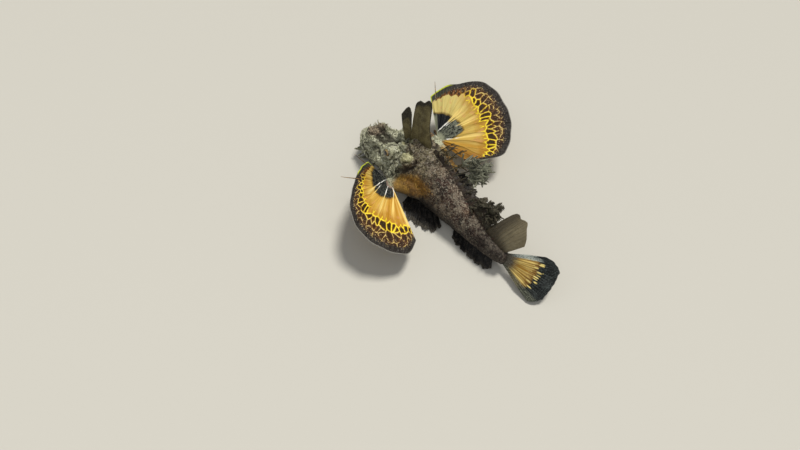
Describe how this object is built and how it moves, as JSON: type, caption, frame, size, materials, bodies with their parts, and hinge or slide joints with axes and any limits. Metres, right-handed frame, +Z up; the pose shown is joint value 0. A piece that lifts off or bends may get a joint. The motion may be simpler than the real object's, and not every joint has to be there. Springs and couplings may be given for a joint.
{
  "type": "demon stinger",
  "caption": "Life-size still model of a demon stinger, a bottom-living stingfish, resting on its belly with both pectoral fans spread and its tail fin fanned.",
  "frame": {"origin": "on the flat of the belly, between the two pectoral fins, at floor level", "axes": "+X towards the head, +Y towards the fish's left, +Z up"},
  "size_m": [0.2053, 0.1699, 0.0802],
  "materials": {
    "body_skin": "rough, warty, mottled purple-brown skin",
    "head_skin": "rough, grainy, sandy grey-green skin",
    "pectoral_membrane": "satin membrane, orange with a yellow network, dark cells and a dark margin",
    "dark_membrane": "satin near-black membrane",
    "dorsal_membrane": "rough olive-brown membrane and skin flaps",
    "eye": "wet, glossy eye with a mottled golden iris"
  },
  "bodies": {
    "root": {"head": "head_skin", "eye_left": "eye", "eye_right": "eye", "trunk_front": "body_skin", "trunk_rear": "body_skin", "tail_stalk": "body_skin", "pectoral_base_left": "body_skin", "pectoral_base_right": "body_skin", "pectoral_fin_left": "pectoral_membrane", "pectoral_fin_right": "pectoral_membrane", "walking_ray_left_1": "body_skin", "walking_ray_left_2": "body_skin", "walking_ray_right_1": "body_skin", "walking_ray_right_2": "body_skin", "pelvic_fin_left": "dark_membrane", "pelvic_fin_right": "dark_membrane", "dorsal_crest": "dorsal_membrane", "dorsal_fin_spiny": "dorsal_membrane", "dorsal_fin_soft": "dorsal_membrane", "anal_fin": "dark_membrane", "caudal_fin": "pectoral_membrane"}
  },
  "joints": []
}
